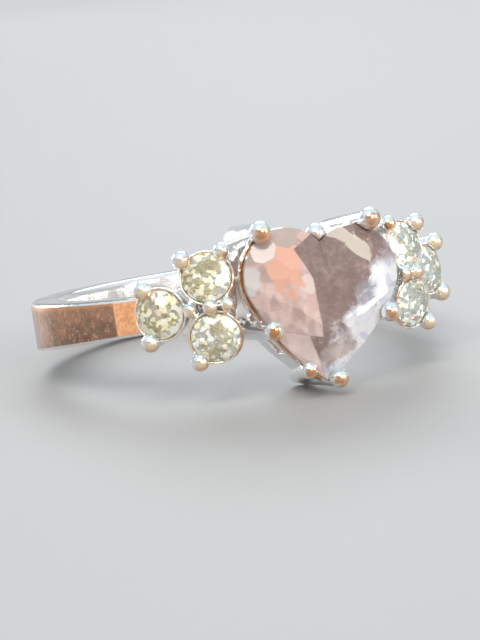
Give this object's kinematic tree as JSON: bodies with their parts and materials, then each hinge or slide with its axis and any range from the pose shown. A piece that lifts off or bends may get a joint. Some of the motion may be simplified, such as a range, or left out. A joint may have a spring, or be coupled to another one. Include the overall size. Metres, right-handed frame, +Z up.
{
  "type": "finger ring with a heart-cut stone",
  "caption": "Cluster ring lying on its side: a claw-set rose heart between trefoils of round clear stones on a plain tapering band.",
  "frame": {"origin": "on the floor, under the middle of the ring's box, with the ring lying on its side", "axes": "+Z up from the surface it lies on; +Y from the heart's face to the back of the band; +X from the wearer's left shoulder of the ring, as the heart is faced, to its right"},
  "size_m": [0.02, 0.0232, 0.0082],
  "materials": {
    "polished_metal": "polished white precious metal with fine wear scratches",
    "rose_stone": "faceted translucent pale pink stone",
    "clear_stone": "faceted colourless stone"
  },
  "bodies": {
    "root": {"setting_and_band": "polished_metal", "heart_stone": "rose_stone", "left_upper_stone": "clear_stone", "left_lower_stone": "clear_stone", "left_outer_stone": "clear_stone", "right_upper_stone": "clear_stone", "right_lower_stone": "clear_stone", "right_outer_stone": "clear_stone"}
  },
  "joints": []
}
